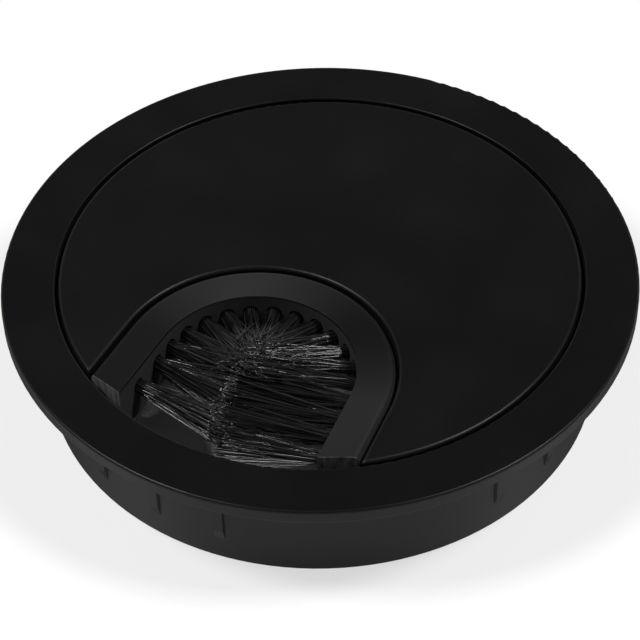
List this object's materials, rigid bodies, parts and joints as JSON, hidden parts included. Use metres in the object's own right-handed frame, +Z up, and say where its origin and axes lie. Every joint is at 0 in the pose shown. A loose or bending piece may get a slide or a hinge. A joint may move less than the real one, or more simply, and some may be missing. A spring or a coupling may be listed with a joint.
{
  "type": "brush cable grommet",
  "caption": "Round desk cable grommet: flanged liner for a drilled hole, flush cover that turns in it, and a horseshoe brush block whose bristle tufts close the cable notch.",
  "frame": {"origin": "centre of the liner's lower rim, the plane the part stands on", "axes": "+Z up through the cover's top face, -Y toward the open end of the cable notch at rest"},
  "size_m": [0.09, 0.09, 0.0183],
  "materials": {
    "liner_plastic": "black moulded plastic with a fine matte grain",
    "cover_plastic": "black moulded plastic with a fine matte grain",
    "block_plastic": "dark grey-black smooth moulded plastic",
    "bristle_nylon": "black drawn nylon, shiny along each bristle"
  },
  "bodies": {
    "liner": {"liner": "liner_plastic"},
    "turning_cover": {"cover": "cover_plastic", "brush_block": "block_plastic", "tuft_01": "bristle_nylon", "tuft_02": "bristle_nylon", "tuft_03": "bristle_nylon", "tuft_04": "bristle_nylon", "tuft_05": "bristle_nylon", "tuft_06": "bristle_nylon", "tuft_07": "bristle_nylon", "tuft_08": "bristle_nylon", "tuft_09": "bristle_nylon", "tuft_10": "bristle_nylon", "tuft_11": "bristle_nylon", "tuft_12": "bristle_nylon", "tuft_13": "bristle_nylon", "tuft_14": "bristle_nylon", "tuft_15": "bristle_nylon", "tuft_16": "bristle_nylon", "tuft_17": "bristle_nylon", "tuft_18": "bristle_nylon"}
  },
  "joints": [
    {"name": "cover_turn", "type": "hinge", "parent": "liner", "child": "turning_cover", "pos_m": [0, 0, 0.0161], "axis": [0, 0, 1], "continuous": true}
  ]
}
